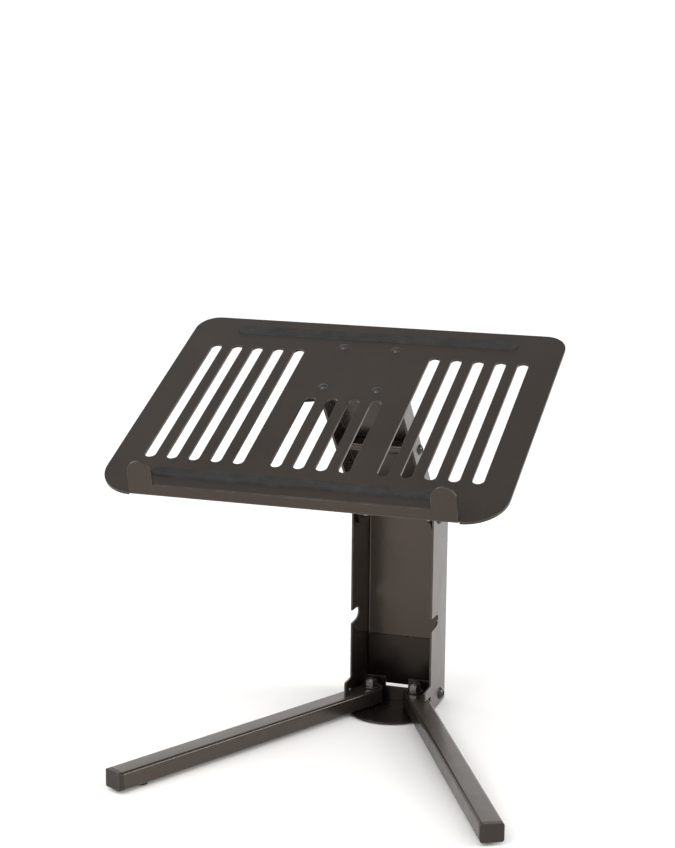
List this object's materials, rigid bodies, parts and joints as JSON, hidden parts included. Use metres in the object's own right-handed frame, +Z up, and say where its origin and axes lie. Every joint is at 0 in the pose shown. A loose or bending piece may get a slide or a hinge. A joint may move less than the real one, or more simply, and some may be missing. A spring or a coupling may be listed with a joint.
{
  "type": "laptop stand",
  "caption": "Folding laptop stand: two splayed leg tubes, U-channel column, hinged arm and a tilted tray with a low lip and two front tabs.",
  "frame": {"origin": "floor level under the middle of the column's two front edges, at the underside of the central rubber pad", "axes": "+X to the right seen from the front, +Y to the back, +Z up; the legs and the tray's lip point to -Y"},
  "size_m": [0.322, 0.3242, 0.3491],
  "materials": {
    "black_steel": "satin black powder coat with a warm tint",
    "black_bolt": "semi-gloss black",
    "dark_zinc": "dark zinc plate",
    "black_plastic": "moulded matte",
    "black_rubber": "matte"
  },
  "bodies": {
    "base": {"hub_plate": "black_steel", "hub_bracket": "black_steel", "hub_pads": "black_rubber", "column": "black_steel", "column_bolts": "black_bolt", "column_nuts": "dark_zinc", "leg_pivot_bolts": "black_bolt", "leg_pivot_washers": "dark_zinc", "leg_pivot_nuts": "dark_zinc", "arm_pivot_bolts": "black_bolt", "arm_friction_washers": "black_plastic", "arm_pivot_nuts": "dark_zinc"},
    "left_leg": {"left_leg_tube": "black_steel", "left_leg_cap": "black_plastic", "left_leg_bush": "dark_zinc", "left_leg_foot": "black_rubber"},
    "right_leg": {"right_leg_tube": "black_steel", "right_leg_cap": "black_plastic", "right_leg_bush": "dark_zinc", "right_leg_foot": "black_rubber"},
    "arm": {"arm": "black_steel", "arm_tie_tube": "black_steel", "arm_tie_bolts": "black_bolt"},
    "tray": {"tray_plate": "black_steel", "tray_bracket": "black_steel", "tray_rivets": "black_bolt", "tray_pivot_bolts": "black_bolt", "tray_friction_washers": "black_plastic", "tray_pivot_nuts": "dark_zinc", "tray_grip_pads": "black_rubber", "tray_tab_pads": "black_rubber"}
  },
  "joints": [
    {"name": "left_leg_swing", "type": "hinge", "parent": "base", "child": "left_leg", "pos_m": [-0.01999, 0.0076, 0.0105], "axis": [0, 0, 1], "range_deg": [0, 27.5]},
    {"name": "right_leg_swing", "type": "hinge", "parent": "base", "child": "right_leg", "pos_m": [0.01999, 0.0076, 0.0105], "axis": [0, 0, -1], "range_deg": [0, 27.5]},
    {"name": "arm_lean", "type": "hinge", "parent": "base", "child": "arm", "pos_m": [0, 0.018, 0.175], "axis": [1, 0, 0], "range_deg": [-40, 35]},
    {"name": "tray_tilt", "type": "hinge", "parent": "arm", "child": "tray", "pos_m": [0, -0.09127, 0.30523], "axis": [1, 0, 0], "range_deg": [-40, 30]}
  ]
}
